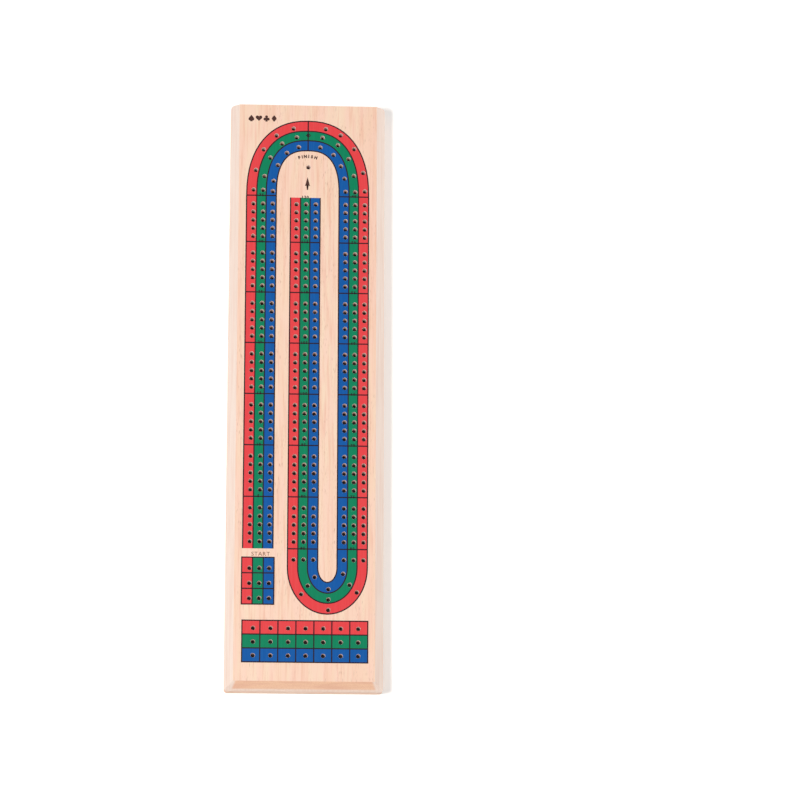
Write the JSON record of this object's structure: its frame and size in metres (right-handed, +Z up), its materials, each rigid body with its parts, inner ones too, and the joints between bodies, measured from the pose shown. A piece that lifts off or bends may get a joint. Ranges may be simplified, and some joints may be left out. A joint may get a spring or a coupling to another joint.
{
  "type": "cribbage box with drawer",
  "caption": "Slim pale wooden cribbage box: drilled, bevelled deck with a continuous peg track over a low frame, and a peg drawer that slides out of the far end.",
  "frame": {"origin": "middle of the underside, on the surface the box stands on", "axes": "+X across the board to the right as it is read, +Y along the board towards the drawer end, +Z up out of the drilled face"},
  "size_m": [0.1016, 0.3874, 0.0191],
  "materials": {
    "deck_wood": "pale close-grained hardwood, sanded, thin matt lacquer",
    "frame_wood": "pale hardwood, sanded",
    "base_wood": "thin pale plywood panel",
    "drawer_wood": "pale hardwood, sanded",
    "drawer_panel_wood": "thin plywood",
    "magnet_nickel": "nickel plated",
    "steel": "plain steel",
    "screw_brass": "brass plated",
    "peg_red": "moulded plastic",
    "peg_green": "moulded plastic",
    "peg_blue": "moulded plastic",
    "ink_red": "screen-printed ink on the deck",
    "ink_green": "screen-printed ink on the deck",
    "ink_blue": "screen-printed ink on the deck",
    "ink_dark": "screen-printed lines, numerals and words on the deck"
  },
  "bodies": {
    "box": {"deck": "deck_wood", "left_rail": "frame_wood", "right_rail": "frame_wood", "near_rail": "frame_wood", "middle_rail": "frame_wood", "bay_rail": "frame_wood", "base_panel": "base_wood", "stop_strip": "frame_wood", "catch_magnet": "magnet_nickel", "base_screw_1": "screw_brass", "base_screw_2": "screw_brass", "base_screw_3": "screw_brass", "base_screw_4": "screw_brass", "base_screw_5": "screw_brass", "base_screw_6": "screw_brass", "base_screw_7": "screw_brass", "base_screw_8": "screw_brass"},
    "drawer": {"drawer_front": "drawer_wood", "drawer_left_side": "drawer_wood", "drawer_right_side": "drawer_wood", "drawer_back": "drawer_wood", "drawer_bottom": "drawer_panel_wood", "drawer_divider_left": "drawer_wood", "drawer_divider_right": "drawer_wood", "strike_disc": "steel", "peg_red_1": "peg_red", "peg_red_2": "peg_red", "peg_red_3": "peg_red", "peg_green_1": "peg_green", "peg_green_2": "peg_green", "peg_green_3": "peg_green", "peg_blue_1": "peg_blue", "peg_blue_2": "peg_blue", "peg_blue_3": "peg_blue"}
  },
  "joints": [
    {"name": "drawer_slide", "type": "slide", "parent": "box", "child": "drawer", "axis": [0, 1, 0], "range_m": [0, 0.11]}
  ]
}
